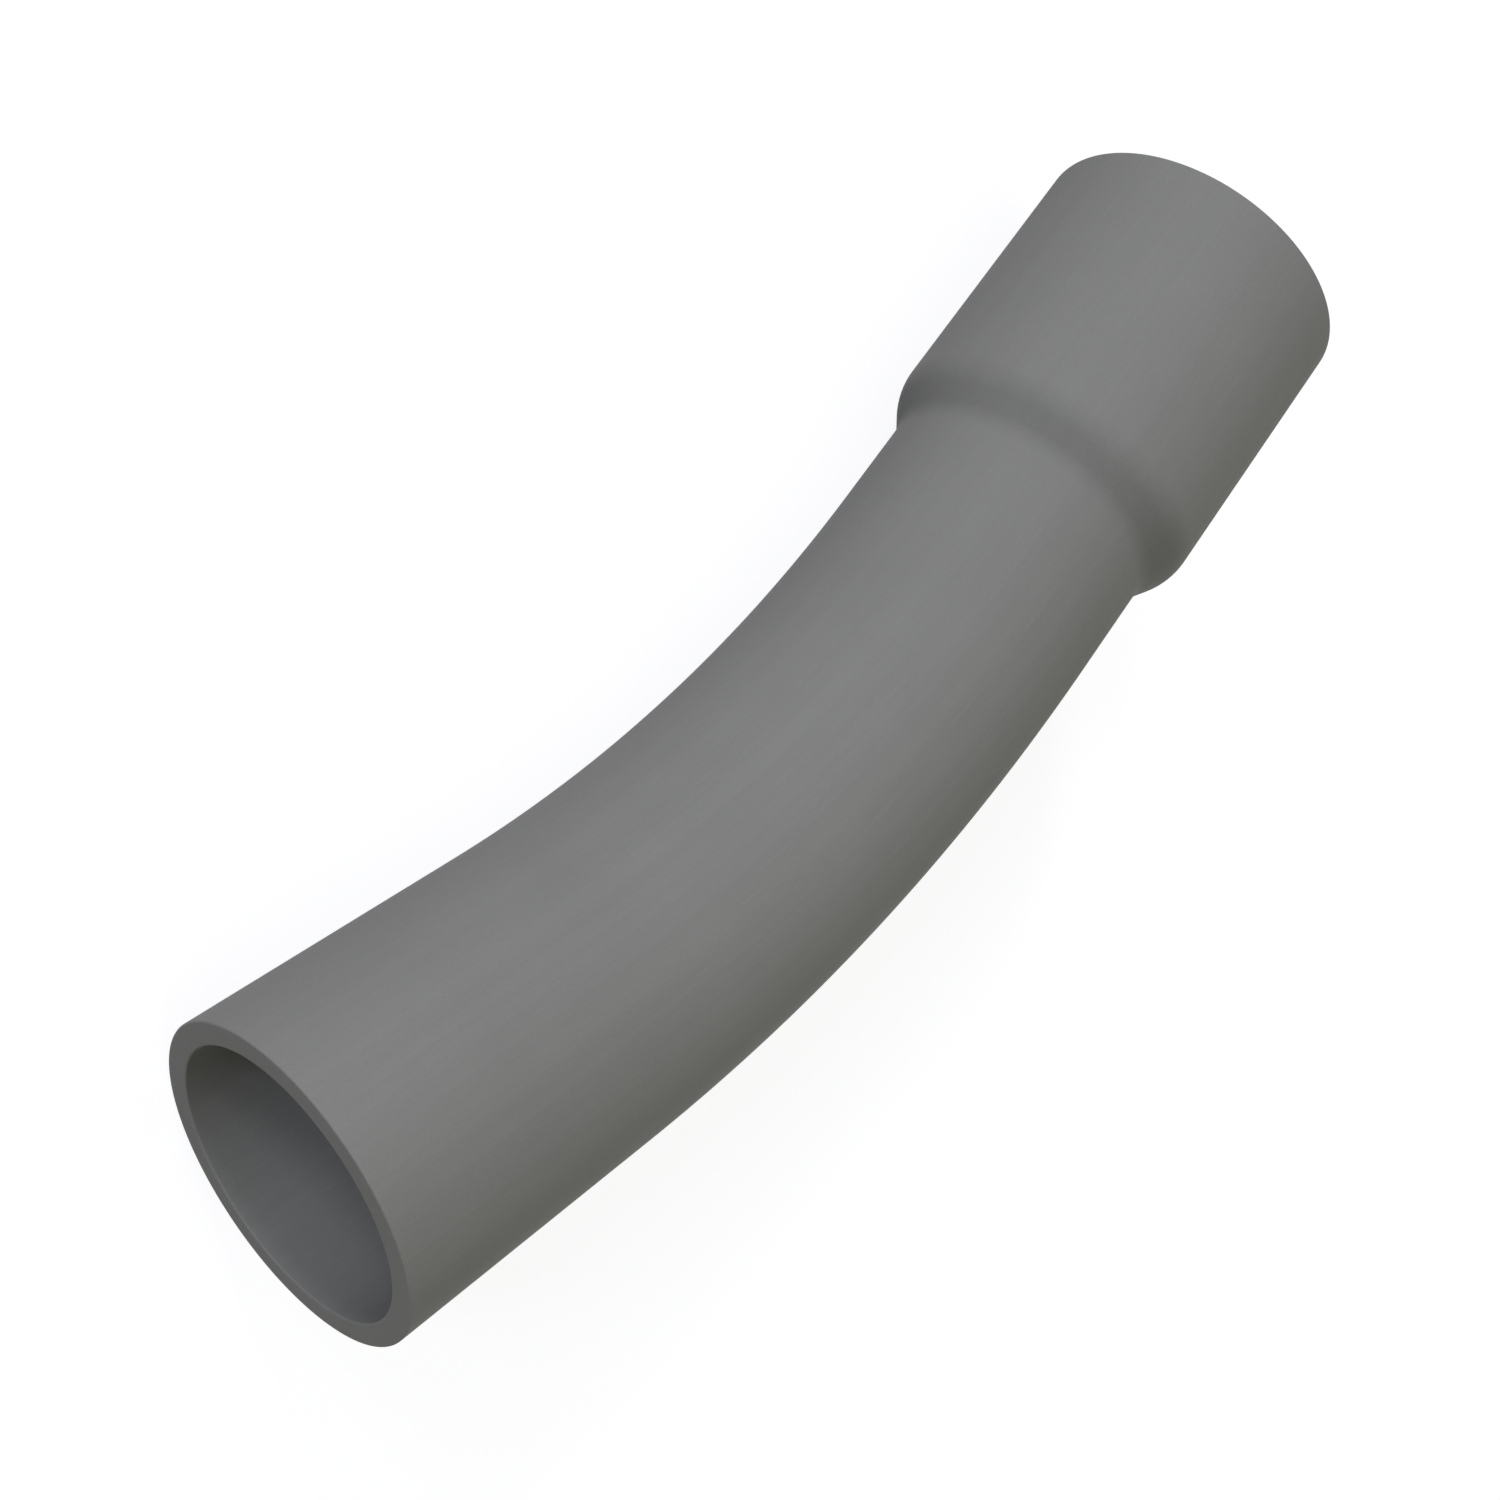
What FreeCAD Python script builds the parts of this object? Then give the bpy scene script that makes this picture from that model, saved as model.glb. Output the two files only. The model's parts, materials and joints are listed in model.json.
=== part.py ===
"""Rigid PVC pipe elbow: one thick-walled pipe, bent through a shallow angle, with a plain
spigot at one end and a bell at the other that takes the next pipe.

Lengths are in millimetres and angles in degrees. The origin is the centre of the spigot's
end face. +X runs along the spigot into the pipe, and the bend turns towards +Y. The elbow
lies on its side as it rests: the straight spigot and the bell's shoulder both touch the
ground, so the plane of the bend rises a little towards the bell.
"""

import FreeCAD, Part
import math
import os

# Pipe
PIPE_DIAMETER = 63.0
WALL = 4.7

# Straight lengths and bend, along the pipe's centre line
SPIGOT_LENGTH = 59.0
BEND_RADIUS = 252.0
BEND_ANGLE = 30.0
NECK_LENGTH = 20.0

# Bell. The crease radius is on the flare's outside and the shoulder radius on its inside.
SOCKET_CLEARANCE = 0.15
SOCKET_LENGTH = 60.0
FLARE_ANGLE = 32.0
CREASE_RADIUS = 8.0
SHOULDER_RADIUS = 6.8

# Ends
SPIGOT_EDGE_BREAK = 0.4
MOUTH_EDGE_BREAK = 0.6
LEAD_IN_DEPTH = 1.0
LEAD_IN_LENGTH = 2.0

pipe_radius = PIPE_DIAMETER / 2
bore_radius = pipe_radius - WALL
socket_radius = pipe_radius + SOCKET_CLEARANCE
bell_radius = socket_radius + WALL

X_AXIS = FreeCAD.Vector(1, 0, 0)
Z_AXIS = FreeCAD.Vector(0, 0, 1)
ORIGIN = FreeCAD.Vector(0, 0, 0)

bend_centre = FreeCAD.Vector(SPIGOT_LENGTH, BEND_RADIUS, 0)
bend_turn = math.radians(BEND_ANGLE)
bend_end = bend_centre + FreeCAD.Vector(math.sin(bend_turn), -math.cos(bend_turn), 0) * BEND_RADIUS
bell_direction = FreeCAD.Vector(math.cos(bend_turn), math.sin(bend_turn), 0)

# The flare is two tangent arcs with a straight ramp between them. Its wall keeps the pipe's
# thickness, so the arcs of its inside and its outside share their centres.
flare_turn = math.radians(FLARE_ANGLE)
outer_shoulder_radius = SHOULDER_RADIUS + WALL
flare_rise = bell_radius - pipe_radius
arc_radii = CREASE_RADIUS + outer_shoulder_radius
ramp_length = (flare_rise - arc_radii * (1 - math.cos(flare_turn))) / math.sin(flare_turn)
flare_length = arc_radii * math.sin(flare_turn) + ramp_length * math.cos(flare_turn)
shoulder_along = NECK_LENGTH + flare_length
mouth_along = shoulder_along + SOCKET_LENGTH


def at(along, radius):
    """Point of a section that is drawn along X and turned about it."""
    return FreeCAD.Vector(along, radius, 0)


def line(start, end):
    return Part.LineSegment(start, end).toShape()


def arc(centre, radius, first, last):
    """Arc round a centre, from the first angle to the last, in radians from the axis."""

    def point(angle):
        return centre + FreeCAD.Vector(math.cos(angle), math.sin(angle), 0) * radius

    return Part.Arc(point(first), point((first + last) / 2), point(last)).toShape()


def joined(edges):
    """The edges in order, each joined to the next by a straight line where they don't meet."""
    closed = []
    for edge, following in zip(edges, edges[1:] + edges[:1]):
        closed.append(edge)
        gap_start = edge.lastVertex(True).Point
        gap_end = following.firstVertex(True).Point
        if gap_start.distanceToPoint(gap_end) > 1e-7:
            closed.append(line(gap_start, gap_end))
    return closed


def turned(section_edges):
    """Solid of revolution of a closed section about X."""
    section = Part.Face(Part.Wire(section_edges))
    return section.revolve(ORIGIN, X_AXIS, 360)


def spigot():
    """Straight plain end, cut square, with its two edges just broken."""
    corners = [
        at(0, bore_radius + SPIGOT_EDGE_BREAK),
        at(SPIGOT_EDGE_BREAK, bore_radius),
        at(SPIGOT_LENGTH, bore_radius),
        at(SPIGOT_LENGTH, pipe_radius),
        at(SPIGOT_EDGE_BREAK, pipe_radius),
        at(0, pipe_radius - SPIGOT_EDGE_BREAK),
    ]
    return turned([line(a, b) for a, b in zip(corners, corners[1:] + corners[:1])])


def bend():
    """The pipe's ring section, turned about the bend's centre."""
    rings = []
    for radius in (pipe_radius, bore_radius):
        circle = Part.Circle(at(SPIGOT_LENGTH, 0), X_AXIS, radius)
        rings.append(Part.Wire(circle.toShape()))
    section = Part.makeFace(rings, "Part::FaceMakerBullseye")
    return section.revolve(bend_centre, Z_AXIS, BEND_ANGLE)


def bell():
    """Neck, flare and socket: one wall of even thickness, as formed over a mandrel."""
    down = -math.pi / 2
    up = math.pi / 2
    crease_centre = at(NECK_LENGTH, pipe_radius + CREASE_RADIUS)
    shoulder_centre = at(shoulder_along, socket_radius - SHOULDER_RADIUS)
    outside_of_flare = [
        arc(crease_centre, CREASE_RADIUS, down, down + flare_turn),
        arc(shoulder_centre, outer_shoulder_radius, up + flare_turn, up),
    ]
    mouth = [
        line(at(mouth_along - MOUTH_EDGE_BREAK, bell_radius), at(mouth_along, bell_radius - MOUTH_EDGE_BREAK)),
        line(at(mouth_along, socket_radius + LEAD_IN_DEPTH), at(mouth_along - LEAD_IN_LENGTH, socket_radius)),
    ]
    inside_of_flare = [
        arc(shoulder_centre, SHOULDER_RADIUS, up, up + flare_turn),
        arc(crease_centre, CREASE_RADIUS + WALL, down + flare_turn, down),
    ]
    neck_face = [line(at(0, bore_radius), at(0, pipe_radius))]
    solid = turned(joined(outside_of_flare + mouth + inside_of_flare + neck_face))
    solid.rotate(ORIGIN, Z_AXIS, BEND_ANGLE)
    solid.translate(bend_end)
    return solid


def resting_lean():
    """Turn about the spigot's axis, in degrees, that sets the bell's shoulder on the ground.

    The shoulder is an arc swept round a ring. With s the sine of the lean, its lowest point
    is as low as the pipe's when
    ring_radius * sqrt(1 - (s * sin(bend))**2) + arc_radius = pipe_radius + s * height,
    a quadratic in s. The height is how far the ring's centre is from the spigot's axis.
    """
    height = bend_end.y + shoulder_along * bell_direction.y
    ring_radius = bell_radius - outer_shoulder_radius
    reach = pipe_radius - outer_shoulder_radius
    square_term = height**2 + (ring_radius * math.sin(bend_turn)) ** 2
    linear_term = reach * height
    constant = ring_radius**2 - reach**2
    sine = (math.sqrt(linear_term**2 + square_term * constant) - linear_term) / square_term
    return math.degrees(math.asin(sine))


def elbow():
    """The whole elbow, one solid, leaned over as it lies."""
    solid = spigot().fuse([bend(), bell()]).removeSplitter().Solids[0]
    solid.rotate(ORIGIN, X_AXIS, resting_lean())
    return solid


os.makedirs("parts", exist_ok=True)
elbow().exportStep("parts/elbow.step")
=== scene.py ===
"""Looks of a rigid PVC pipe elbow that lies on its side on a pale floor.

The elbow is one formed pipe, so it is one mesh: a closed section of the wall, swept along the
pipe's centre line. Lengths are in metres. A place on the elbow is given by how far along the
centre line it is from the spigot's end face, its distance from that line, and an angle round it.
"""

import json
import math

import bpy
import numpy as np
from mathutils import Matrix, Vector

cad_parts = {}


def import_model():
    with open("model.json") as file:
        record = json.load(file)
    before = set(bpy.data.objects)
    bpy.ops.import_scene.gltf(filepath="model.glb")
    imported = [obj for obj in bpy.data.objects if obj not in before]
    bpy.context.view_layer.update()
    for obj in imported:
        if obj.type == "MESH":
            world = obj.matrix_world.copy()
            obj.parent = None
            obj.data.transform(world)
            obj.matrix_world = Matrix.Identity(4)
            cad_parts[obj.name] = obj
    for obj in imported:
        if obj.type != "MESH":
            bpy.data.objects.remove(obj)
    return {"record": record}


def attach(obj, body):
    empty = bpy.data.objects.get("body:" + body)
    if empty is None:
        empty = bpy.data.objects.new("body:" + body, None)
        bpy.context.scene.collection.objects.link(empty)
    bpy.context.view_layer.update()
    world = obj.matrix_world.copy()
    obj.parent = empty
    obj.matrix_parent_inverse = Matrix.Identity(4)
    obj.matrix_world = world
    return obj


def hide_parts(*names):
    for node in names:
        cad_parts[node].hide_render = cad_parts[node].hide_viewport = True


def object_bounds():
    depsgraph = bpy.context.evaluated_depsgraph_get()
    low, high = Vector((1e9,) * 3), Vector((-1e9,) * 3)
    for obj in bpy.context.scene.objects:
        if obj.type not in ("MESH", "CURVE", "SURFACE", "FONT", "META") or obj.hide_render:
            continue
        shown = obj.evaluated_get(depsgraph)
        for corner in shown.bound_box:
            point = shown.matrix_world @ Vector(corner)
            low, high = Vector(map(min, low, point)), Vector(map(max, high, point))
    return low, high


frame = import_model()
cad_low, cad_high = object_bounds()

MM = 0.001

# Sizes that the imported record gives
MOUNTS = {mount["name"]: mount for mount in frame["record"]["mounts"]}
PIPE_RADIUS = MOUNTS["spigot"]["dims"]["r_mm"] * MM
SOCKET_RADIUS = MOUNTS["socket"]["dims"]["r_mm"] * MM
SOCKET_BORE_LENGTH = MOUNTS["socket"]["dims"]["length_mm"] * MM
SOCKET_ROOT = Vector(MOUNTS["socket"]["pos_m"])
SOCKET_AXIS = Vector(MOUNTS["socket"]["axis"])

# Sizes that it doesn't give. The crease radius is on the flare's outside and the shoulder
# radius on its inside.
WALL = 4.7 * MM
BEND_RADIUS = 252.0 * MM
FLARE_ANGLE = math.radians(32)
CREASE_RADIUS = 8.0 * MM
SHOULDER_RADIUS = 6.8 * MM
SPIGOT_EDGE_BREAK = 0.4 * MM
MOUTH_EDGE_BREAK = 0.6 * MM
LEAD_IN_DEPTH = 1.0 * MM
LEAD_IN_LENGTH = 2.0 * MM

BORE_RADIUS = PIPE_RADIUS - WALL
BELL_RADIUS = SOCKET_RADIUS + WALL
SPIGOT_LENGTH = MOUNTS["spigot"]["dims"]["length_mm"] * MM + SPIGOT_EDGE_BREAK
LEAN = math.atan2(SOCKET_AXIS.z, SOCKET_AXIS.y)
BEND_ANGLE = math.acos(SOCKET_AXIS.x)

# Places along the centre line
BEND_END = SPIGOT_LENGTH + BEND_RADIUS * BEND_ANGLE
BEND_END_X = SPIGOT_LENGTH + BEND_RADIUS * math.sin(BEND_ANGLE)
SHOULDER = BEND_END + (SOCKET_ROOT.x - BEND_END_X) / math.cos(BEND_ANGLE)
FLARE_LENGTH = (
    (CREASE_RADIUS + SHOULDER_RADIUS + WALL) * math.tan(FLARE_ANGLE / 2)
    + (BELL_RADIUS - PIPE_RADIUS) / math.tan(FLARE_ANGLE)
)
CREASE = SHOULDER - FLARE_LENGTH
MOUTH = SHOULDER + SOCKET_BORE_LENGTH + LEAD_IN_LENGTH

# Mesh fineness
SEGMENTS_ROUND = 192
BEND_STEP = math.radians(0.75)
ARC_STEP = math.radians(4)
STRAIGHT_STEP = 6 * MM
SHARP_ANGLE = math.radians(15)
SAME_POINT = 0.0001 * MM
ROUNDING = 1e-9

# Plastic
PVC_GREY = (0.232, 0.232, 0.229)
PVC_IOR = 1.53
PVC_SPECULAR = 0.12
ROUGH_LOW, ROUGH_HIGH = 0.65, 0.72

# Noises of its surface: scale along the pipe as a share of that round it, scale, detail,
# roughness. Where the first is small, the noise makes lines along the pipe.
NOISES = {
    "broad_lines": (0.02, 260.0, 2.0, 0.5),
    "hair_lines": (0.012, 900.0, 2.0, 0.6),
    "fine_lines": (0.01, 2400.0, 2.0, 0.6),
    "grain": (0.6, 4200.0, 2.0, 0.6),
    "mottle": (1.0, 45.0, 3.0, 0.55),
    "cloud": (1.0, 14.0, 2.0, 0.5),
}
RUB_NOISE = (0.018, 1900.0, 1.0, 0.5)
NOISE_LOW, NOISE_HIGH = 0.3, 0.7

# Rub marks show where their noise passes from the first value to the second, in the areas
# where the cloud does so too. They lie askew by an angle in radians.
RUB_START, RUB_FULL = 0.66, 0.74
RUBBED_START, RUBBED_FULL = 0.42, 0.60
RUB_SKEW = 0.06

# Saw marks on the end faces: the blade's centre, beside the pipe, and the distance between marks
END_FACE_DEPTH = 0.02 * MM
SAW_CENTRE = (0.0, 0.05, 0.15)
SAW_MARK_PITCH = 0.7 * MM

# What each of them does: tone as a share either way, tone that is added, roughness that is
# added, and height as a share of the bump's depth
TONE_EITHER_WAY = {
    "mottle": 0.020,
    "broad_lines": 0.018,
    "cloud": 0.014,
    "hair_lines": 0.014,
    "fine_lines": 0.014,
    "grain": 0.040,
}
TONE_ADDED = {"rubs": 0.07, "sawn": 0.07, "saw_marks": 0.09}
ROUGH_EITHER_WAY = {"hair_lines": 0.04}
ROUGH_ADDED = {"sawn": 0.15, "rubs": 0.12}
HEIGHTS = {
    "hair_lines": 0.45,
    "broad_lines": 0.7,
    "fine_lines": 0.22,
    "grain": 0.30,
    "rubs": -0.25,
    "saw_marks": 0.8,
}
BUMP_STRENGTH = 0.6
BUMP_DEPTH = 0.06 * MM

# Floor. What the camera sees of it is a shade that takes the shadow, and a glow that lifts it
# to white.
FLOOR_REACH = 8.0
FLOOR_BOUNCE = (0.31, 0.31, 0.31)
FLOOR_SHADE = (0.35, 0.35, 0.40)
FLOOR_GLOW = 0.84
WHITE = (1.0, 1.0, 1.0)

# The photograph's view, found by matching the elbow's outline
CAMERA_PLACE = Vector((-0.10761, 0.21421, 0.21747))
CAMERA_FORWARD = Vector((0.61724, -0.51702, -0.59305))
CAMERA_UP = Vector((0.42852, 0.85308, -0.29771))
CAMERA_LENS_MM = 44.654
SENSOR_MM = 36.0
CLIP_NEAR = 0.01
CLIP_FAR = 50.0


def centre_line(along):
    """Centre points and headings of the pipe at given lengths, before it is leaned over."""
    along = np.asarray(along, float)
    turn = np.clip((along - SPIGOT_LENGTH) / BEND_RADIUS, 0, BEND_ANGLE)
    before = np.minimum(along, SPIGOT_LENGTH)
    after = np.maximum(along - BEND_END, 0)
    x = before + BEND_RADIUS * np.sin(turn) + after * np.cos(turn)
    y = BEND_RADIUS * (1 - np.cos(turn)) + after * np.sin(turn)
    return x, y, turn


def steps(start, end, step):
    """Values from start to end, both included, at most one step apart."""
    count = max(1, math.ceil(abs(end - start) / step - ROUNDING))
    return np.linspace(start, end, count + 1)


def straight(start, end):
    """Section points from one (along, radius) to another, dense where the run crosses the bend."""
    (a0, r0), (a1, r1) = start, end
    stops = [a for a in (SPIGOT_LENGTH, BEND_END) if min(a0, a1) < a < max(a0, a1)]
    stops = sorted(stops, reverse=a1 < a0)
    places = [a0]
    for low, high in zip([a0] + stops, stops + [a1]):
        in_bend = SPIGOT_LENGTH <= (low + high) / 2 <= BEND_END
        step = BEND_RADIUS * BEND_STEP if in_bend else STRAIGHT_STEP
        places.extend(steps(low, high, step)[1:])
    span = (a1 - a0) or 1.0
    return [(a, r0 + (r1 - r0) * (a - a0) / span) for a in places]


def arc(centre, radius, first, last):
    """Section points on an arc round a centre, from the first angle to the last, in radians."""
    along, height = centre
    return [
        (along + radius * math.cos(angle), height + radius * math.sin(angle))
        for angle in steps(first, last, ARC_STEP)
    ]


def wall_section():
    """The wall's closed outline as (along, radius): out along the outside, back along the inside.

    The arcs of the flare's outside and inside share their centres, so the wall stays even.
    """
    up = math.pi / 2
    down = -up
    crease = (CREASE, PIPE_RADIUS + CREASE_RADIUS)
    shoulder = (SHOULDER, SOCKET_RADIUS - SHOULDER_RADIUS)
    edge = SPIGOT_EDGE_BREAK
    lip = MOUTH_EDGE_BREAK
    outer_edge = arc((edge, PIPE_RADIUS - edge), edge, math.pi, up)
    inner_edge = arc((edge, BORE_RADIUS + edge), edge, down, -math.pi)
    mouth_edge = arc((MOUTH - lip, BELL_RADIUS - lip), lip, up, 0)
    lead_in = [(MOUTH, SOCKET_RADIUS + LEAD_IN_DEPTH), (MOUTH - LEAD_IN_LENGTH, SOCKET_RADIUS)]
    runs = (
        outer_edge,
        straight(outer_edge[-1], (CREASE, PIPE_RADIUS)),
        arc(crease, CREASE_RADIUS, down, down + FLARE_ANGLE),
        arc(shoulder, SHOULDER_RADIUS + WALL, up + FLARE_ANGLE, up),
        straight((SHOULDER, BELL_RADIUS), mouth_edge[0]),
        mouth_edge,
        lead_in,
        straight(lead_in[-1], (SHOULDER, SOCKET_RADIUS)),
        arc(shoulder, SHOULDER_RADIUS, up, up + FLARE_ANGLE),
        arc(crease, CREASE_RADIUS + WALL, down + FLARE_ANGLE, down),
        straight((CREASE, BORE_RADIUS), inner_edge[0]),
        inner_edge,
    )
    points = []
    for point in (point for run in runs for point in run):
        if not points or math.dist(point, points[-1]) > SAME_POINT:
            points.append(point)
    return points


def elbow_mesh():
    """The swept wall. Each vertex keeps its place on the pipe before the bend, for the material."""
    section = np.array(wall_section())
    along, radius = section[:, 0], section[:, 1]
    x, y, turn = centre_line(along)
    angle = np.arange(SEGMENTS_ROUND) * 2 * math.pi / SEGMENTS_ROUND
    out, up = np.cos(angle), np.sin(angle)
    px = x[:, None] - np.outer(np.sin(turn) * radius, out)
    py = y[:, None] + np.outer(np.cos(turn) * radius, out)
    pz = np.outer(radius, up)
    lean_cos, lean_sin = math.cos(LEAN), math.sin(LEAN)
    bent = np.stack([px, py * lean_cos - pz * lean_sin, py * lean_sin + pz * lean_cos], -1)
    along_all = np.repeat(along[:, None], SEGMENTS_ROUND, 1)
    unbent = np.stack([along_all, np.outer(radius, out), pz], -1)

    rings = len(section)
    ring = np.arange(rings)[:, None]
    spot = np.arange(SEGMENTS_ROUND)[None, :]
    following_ring = (ring + 1) % rings
    following_spot = (spot + 1) % SEGMENTS_ROUND
    corners = [
        ring * SEGMENTS_ROUND + spot,
        following_ring * SEGMENTS_ROUND + spot,
        following_ring * SEGMENTS_ROUND + following_spot,
        ring * SEGMENTS_ROUND + following_spot,
    ]
    faces = np.stack(corners, -1).reshape(-1, 4)

    mesh = bpy.data.meshes.new("pvc_elbow")
    mesh.from_pydata(bent.reshape(-1, 3).tolist(), [], faces.tolist())
    mesh.validate()
    place = mesh.attributes.new("unbent", "FLOAT_VECTOR", "POINT")
    place.data.foreach_set("vector", unbent.reshape(-1, 3).astype(np.float32).ravel())
    mesh.shade_smooth()
    mesh.set_sharp_from_angle(angle=SHARP_ANGLE)
    return mesh


def opaque(colour):
    """The colour with full opacity, as the inputs of nodes take it."""
    return colour + (1.0,)


class Nodes:
    """Short ways to add and join the nodes of a material or the world."""

    def __init__(self, tree):
        self.tree = tree
        self.tree.nodes.clear()

    def add(self, kind, settings=None, **inputs):
        """A new node. An input's name has _ for each space."""
        node = self.tree.nodes.new(kind)
        for key, value in (settings or {}).items():
            setattr(node, key, value)
        for key, value in inputs.items():
            self.feed(node.inputs[key.replace("_", " ")], value)
        return node

    def feed(self, socket, value):
        """Gives an input a number or colour, or joins another node's output to it."""
        if isinstance(value, bpy.types.NodeSocket):
            self.tree.links.new(value, socket)
        else:
            socket.default_value = value

    def math(self, operation, a, b=0.0):
        node = self.tree.nodes.new("ShaderNodeMath")
        node.operation = operation
        self.feed(node.inputs[0], a)
        self.feed(node.inputs[1], b)
        return node.outputs[0]

    def vector_math(self, operation, a, b):
        """A vector operation on two vectors, such as their product or the distance between them."""
        node = self.add("ShaderNodeVectorMath", {"operation": operation})
        self.feed(node.inputs[0], a)
        self.feed(node.inputs[1], b)
        return node.outputs["Value" if operation == "DISTANCE" else "Vector"]

    def noise(self, place, along_share, scale, detail, roughness):
        """Noise from 0 to 1, with its middle at a half."""
        squeezed = self.vector_math("MULTIPLY", place, (along_share, 1.0, 1.0))
        inputs = {"Vector": squeezed, "Scale": scale, "Detail": detail, "Roughness": roughness}
        return self.add("ShaderNodeTexNoise", **inputs).outputs["Fac"]

    def ranged(self, value, low, high, from_low, from_high):
        """The value's range from_low to from_high, laid over low to high and held there."""
        node = self.add("ShaderNodeMapRange", {"clamp": True}, Value=value)
        ends = {"From Min": from_low, "From Max": from_high, "To Min": low, "To Max": high}
        for name, number in ends.items():
            node.inputs[name].default_value = number
        return node.outputs["Result"]

    def either_way(self, values, amounts):
        """Each named noise, laid over its amount either way of nothing."""
        return [
            self.ranged(values[name], -amount, amount, NOISE_LOW, NOISE_HIGH)
            for name, amount in amounts.items()
        ]

    def weighted(self, values, weights):
        """Each named value times its weight."""
        return [self.math("MULTIPLY", values[name], weight) for name, weight in weights.items()]

    def total(self, terms):
        result = terms[0]
        for term in terms[1:]:
            result = self.math("ADD", result, term)
        return result

    def mixed(self, share, first, second):
        """The first shader, or the second where the share is 1."""
        mix = self.add("ShaderNodeMixShader", Fac=share)
        self.feed(mix.inputs[1], first.outputs[0])
        self.feed(mix.inputs[2], second.outputs[0])
        return mix

    def finish(self, kind, shader):
        """Joins a shader to the output, which is a material's or the world's."""
        self.feed(self.add(kind).inputs["Surface"], shader.outputs[0])


def new_material(name):
    """An empty material and its nodes."""
    material = bpy.data.materials.new(name)
    material.use_nodes = True
    return material, Nodes(material.node_tree)


def rub_marks(n, place, cloud):
    """1 on the rub marks, which are the few places where a noise of lines runs high."""
    about_z = {"rotation_type": "Z_AXIS"}
    askew = n.add("ShaderNodeVectorRotate", about_z, Vector=place, Angle=RUB_SKEW)
    lines = n.noise(askew.outputs["Vector"], *RUB_NOISE)
    marks = n.ranged(lines, 0.0, 1.0, RUB_START, RUB_FULL)
    rubbed = n.ranged(cloud, 0.0, 1.0, RUBBED_START, RUBBED_FULL)
    return n.math("MULTIPLY", marks, rubbed)


def sawn_faces(n, place):
    """1 on the two end faces, which are sawn."""
    along = n.add("ShaderNodeSeparateXYZ", Vector=place).outputs["X"]
    at_spigot = n.math("LESS_THAN", along, END_FACE_DEPTH)
    at_mouth = n.math("GREATER_THAN", along, MOUTH - END_FACE_DEPTH)
    return n.math("MAXIMUM", at_spigot, at_mouth)


def saw_waves(n, place, mottle, grain):
    """The near-parallel curved marks that the blade leaves, broken up by the grain."""
    across = n.vector_math("MULTIPLY", place, (0.0, 1.0, 1.0))
    distance = n.vector_math("DISTANCE", across, SAW_CENTRE)
    wobble = n.math("MULTIPLY", mottle, SAW_MARK_PITCH)
    phase = n.math("DIVIDE", n.math("ADD", distance, wobble), SAW_MARK_PITCH)
    waves = n.math("SINE", n.math("MULTIPLY", phase, 2 * math.pi))
    return n.math("MULTIPLY", waves, grain)


def pvc_material():
    """Matt grey pipe plastic: die lines, fine grain, a few rub marks, and paler sawn ends."""
    material, n = new_material("grey_pvc")
    place = n.add("ShaderNodeAttribute", {"attribute_name": "unbent"}).outputs["Vector"]
    marks = {name: n.noise(place, *noise) for name, noise in NOISES.items()}
    marks["rubs"] = rub_marks(n, place, marks["cloud"])
    marks["sawn"] = sawn_faces(n, place)
    waves = saw_waves(n, place, marks["mottle"], marks["grain"])
    marks["saw_marks"] = n.math("MULTIPLY", waves, marks["sawn"])

    tone = n.total(n.either_way(marks, TONE_EITHER_WAY) + n.weighted(marks, TONE_ADDED))
    colour = n.add("ShaderNodeVectorMath", {"operation": "SCALE"}, Scale=n.math("ADD", tone, 1.0))
    colour.inputs[0].default_value = PVC_GREY

    base_rough = n.ranged(marks["mottle"], ROUGH_LOW, ROUGH_HIGH, NOISE_LOW, NOISE_HIGH)
    changes = n.either_way(marks, ROUGH_EITHER_WAY) + n.weighted(marks, ROUGH_ADDED)
    rough = n.total([base_rough] + changes)

    height = n.total(n.weighted(marks, HEIGHTS))
    bump = n.add("ShaderNodeBump", Strength=BUMP_STRENGTH, Distance=BUMP_DEPTH, Height=height)

    shader = n.add(
        "ShaderNodeBsdfPrincipled",
        Base_Color=colour.outputs["Vector"],
        Roughness=rough,
        IOR=PVC_IOR,
        Specular_IOR_Level=PVC_SPECULAR,
        Normal=bump.outputs["Normal"],
    )
    n.finish("ShaderNodeOutputMaterial", shader)
    return material


def seen_as_background(n):
    """1 for the rays that show the background: the camera's, mirrored ones and passing ones."""
    path = n.add("ShaderNodeLightPath").outputs
    seen = n.math("MAXIMUM", path["Is Camera Ray"], path["Is Glossy Ray"])
    return n.math("MAXIMUM", seen, path["Is Transmission Ray"])


def world(strength, colour):
    """Even light from all round, on a white background."""
    made = bpy.data.worlds.new("studio")
    made.use_nodes = True
    n = Nodes(made.node_tree)
    light = n.add("ShaderNodeBackground", Color=opaque(colour), Strength=strength)
    white = n.add("ShaderNodeBackground", Color=opaque(WHITE), Strength=1.0)
    n.finish("ShaderNodeOutputWorld", n.mixed(seen_as_background(n), light, white))
    bpy.context.scene.world = made


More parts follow.
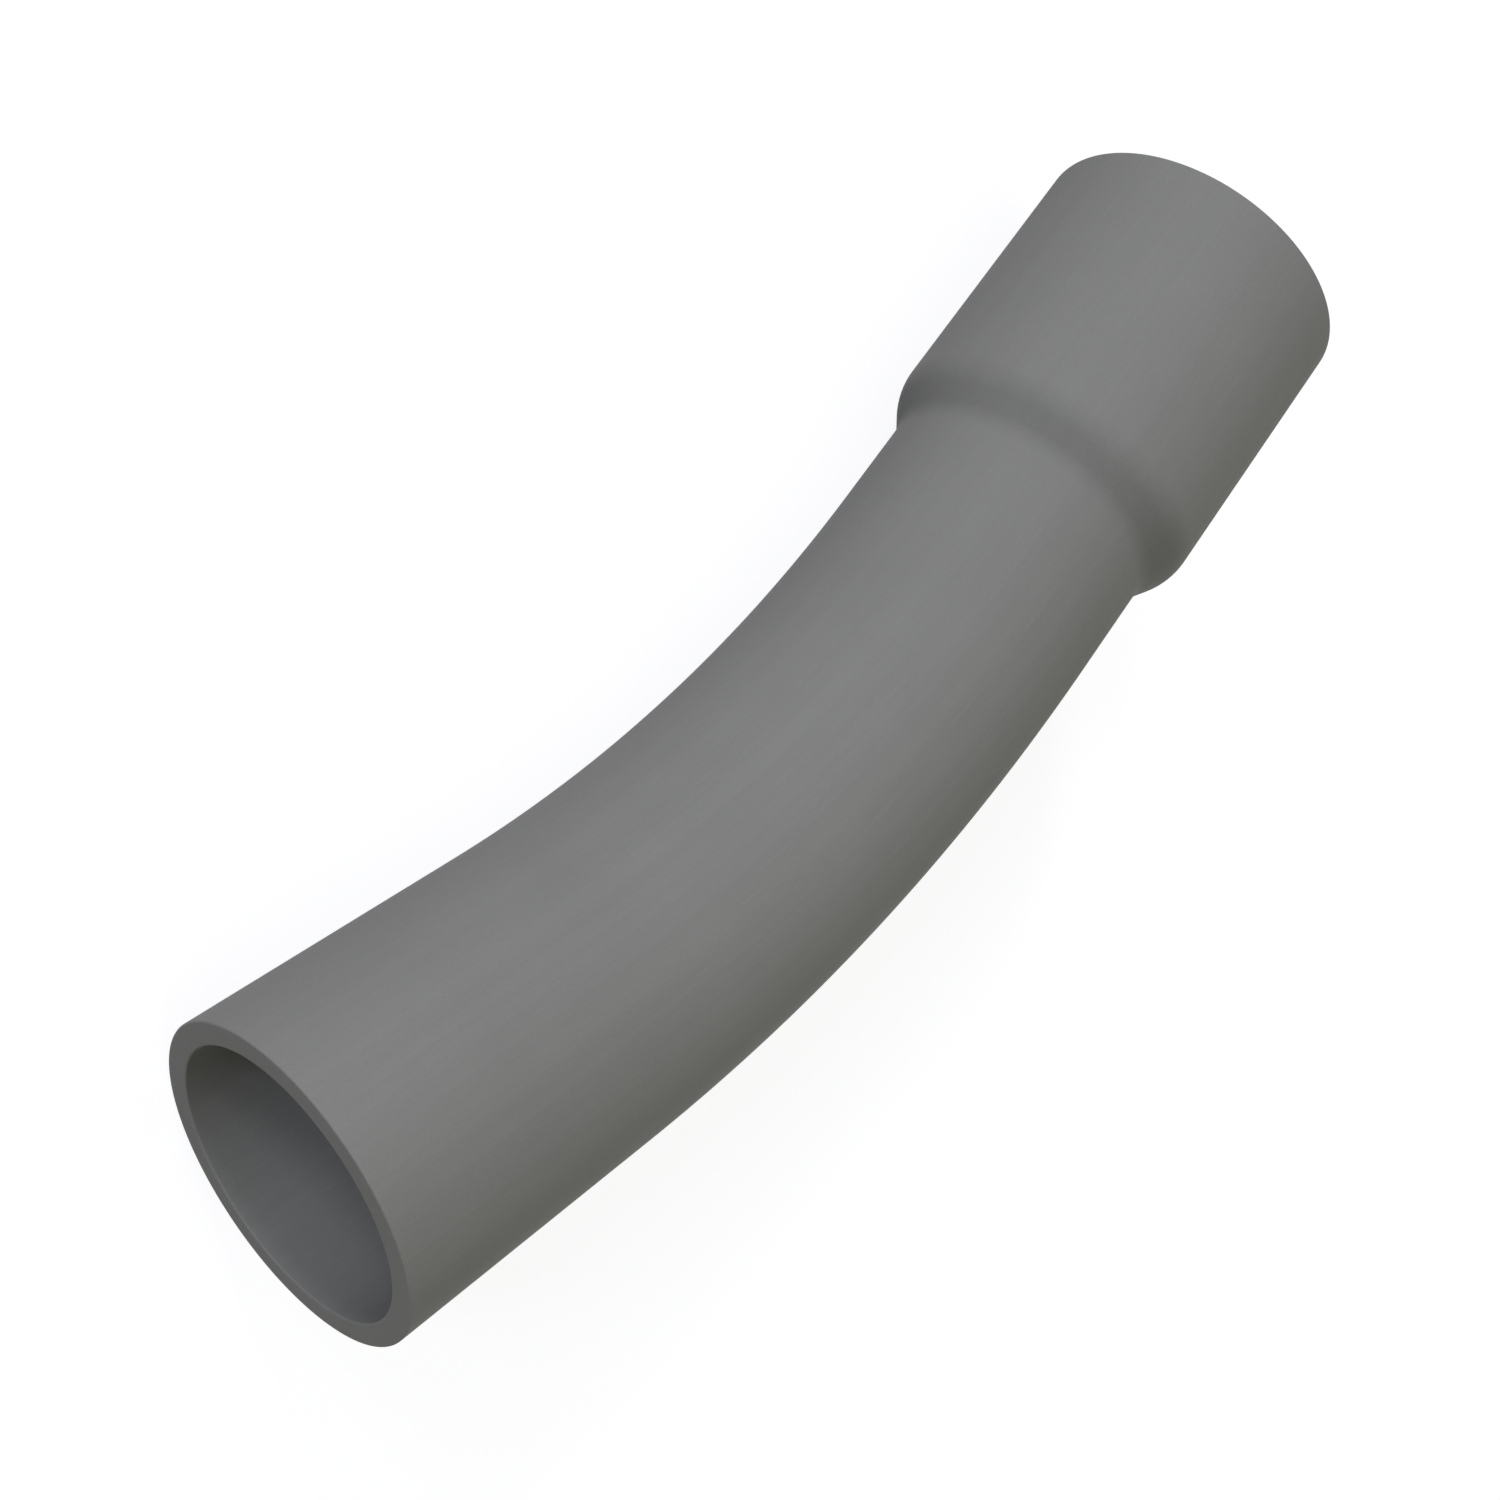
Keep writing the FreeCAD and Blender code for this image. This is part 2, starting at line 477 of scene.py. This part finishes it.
def floor():
    """A pale floor that the camera sees as white, but for the elbow's soft shadow."""
    material, n = new_material("pale_floor")
    bounce = n.add("ShaderNodeBsdfDiffuse", Color=opaque(FLOOR_BOUNCE))
    shade = n.add("ShaderNodeBsdfDiffuse", Color=opaque(FLOOR_SHADE))
    glow = n.add("ShaderNodeEmission", Color=opaque(WHITE), Strength=FLOOR_GLOW)
    white = n.add("ShaderNodeAddShader")
    n.feed(white.inputs[0], shade.outputs[0])
    n.feed(white.inputs[1], glow.outputs[0])
    n.finish("ShaderNodeOutputMaterial", n.mixed(seen_as_background(n), bounce, white))

    ends = ((-1, -1), (1, -1), (1, 1), (-1, 1))
    corners = [(x * FLOOR_REACH, y * FLOOR_REACH, cad_low.z) for x, y in ends]
    mesh = bpy.data.meshes.new("floor")
    mesh.from_pydata(corners, [], [(0, 1, 2, 3)])
    mesh.materials.append(material)
    made = bpy.data.objects.new("floor", mesh)
    bpy.context.scene.collection.objects.link(made)


def sun(name, azimuth, elevation, strength, colour, softness, glint=True):
    """A distant soft lamp, whose angles are in degrees.

    Azimuth is where it stands, from +X towards +Y, and softness is its angular size. Without
    glint it lights the surfaces but makes no highlight on them.
    """
    data = bpy.data.lights.new(name, "SUN")
    data.energy = strength
    data.color = colour
    data.angle = math.radians(softness)
    made = bpy.data.objects.new(name, data)
    a, e = math.radians(azimuth), math.radians(elevation)
    towards = Vector((math.cos(a) * math.cos(e), math.sin(a) * math.cos(e), math.sin(e)))
    made.rotation_mode = "QUATERNION"
    made.rotation_quaternion = towards.to_track_quat("Z", "Y")
    made.visible_glossy = glint
    bpy.context.scene.collection.objects.link(made)


def lamps():
    """Three lamps side by side that shade the pipe across, and a low fill on its far side."""
    sun("key", 88, 18, strength=1.00, colour=(1.0, 0.985, 1.03), softness=12)
    sun("second", 109, 21, strength=0.45, colour=(1.0, 1.0, 1.04), softness=12)
    sun("third", 127, 25, strength=0.70, colour=(0.95, 1.0, 1.17), softness=12)
    sun("fill", 318, 1, strength=0.9, colour=(0.97, 0.97, 1.02), softness=20, glint=False)


def camera():
    """The photograph's view: close above the spigot's end, turned so that the bend rises in it."""
    data = bpy.data.cameras.new("camera")
    data.sensor_width = SENSOR_MM
    data.sensor_fit = "HORIZONTAL"
    data.lens = CAMERA_LENS_MM
    data.clip_start = CLIP_NEAR
    data.clip_end = CLIP_FAR
    made = bpy.data.objects.new("camera", data)
    back = -CAMERA_FORWARD.normalized()
    right = CAMERA_UP.cross(back).normalized()
    up = back.cross(right)
    turn = Matrix((right, up, back)).transposed().to_4x4()
    made.matrix_world = Matrix.Translation(CAMERA_PLACE) @ turn
    bpy.context.scene.collection.objects.link(made)
    bpy.context.scene.camera = made


mesh = elbow_mesh()
mesh.materials.append(pvc_material())
elbow = bpy.data.objects.new("pvc_elbow", mesh)
bpy.context.scene.collection.objects.link(elbow)
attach(elbow, "root")
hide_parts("elbow")

floor()
world(strength=0.30, colour=(1.0, 1.0, 0.82))
lamps()
camera()

bpy.context.scene.view_settings.view_transform = "Standard"
